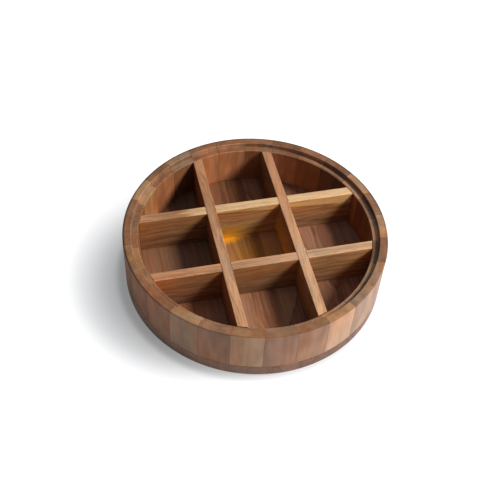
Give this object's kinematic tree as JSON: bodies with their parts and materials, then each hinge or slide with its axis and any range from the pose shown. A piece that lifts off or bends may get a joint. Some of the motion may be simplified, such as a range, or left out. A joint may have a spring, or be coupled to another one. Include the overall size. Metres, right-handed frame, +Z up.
{
  "type": "divided spice tray",
  "caption": "Round open wooden spice tray built of upright staves on a board base, with a lift-out grid of half-lapped dividers and a rebated rim for a loose lid.",
  "frame": {"origin": "middle of the underside of the base, where the tray stands", "axes": "+Z up along the axis of the round wall; the long dividers run along Y and the cross dividers along X"},
  "size_m": [0.25, 0.25, 0.06],
  "materials": {
    "stave_wood": "oiled mixed-tone hardwood, satin",
    "base_wood": "oiled reddish-brown hardwood, satin",
    "divider_wood": "oiled pale hardwood with darker streaks, satin"
  },
  "bodies": {
    "tray": {"base_board_1": "base_wood", "base_board_2": "base_wood", "base_board_3": "base_wood", "base_board_4": "base_wood", "stave_01": "stave_wood", "stave_02": "stave_wood", "stave_03": "stave_wood", "stave_04": "stave_wood", "stave_05": "stave_wood", "stave_06": "stave_wood", "stave_07": "stave_wood", "stave_08": "stave_wood", "stave_09": "stave_wood", "stave_10": "stave_wood", "stave_11": "stave_wood", "stave_12": "stave_wood", "stave_13": "stave_wood", "stave_14": "stave_wood", "stave_15": "stave_wood", "stave_16": "stave_wood", "stave_17": "stave_wood", "stave_18": "stave_wood", "stave_19": "stave_wood", "stave_20": "stave_wood", "stave_21": "stave_wood", "stave_22": "stave_wood", "stave_23": "stave_wood", "stave_24": "stave_wood", "stave_25": "stave_wood", "stave_26": "stave_wood"},
    "divider_grid": {"long_divider_left": "divider_wood", "long_divider_right": "divider_wood", "cross_divider_front": "divider_wood", "cross_divider_back": "divider_wood"}
  },
  "joints": [
    {"name": "grid_lift", "type": "slide", "parent": "tray", "child": "divider_grid", "axis": [0, 0, 1], "range_m": [0, 0.06]}
  ]
}
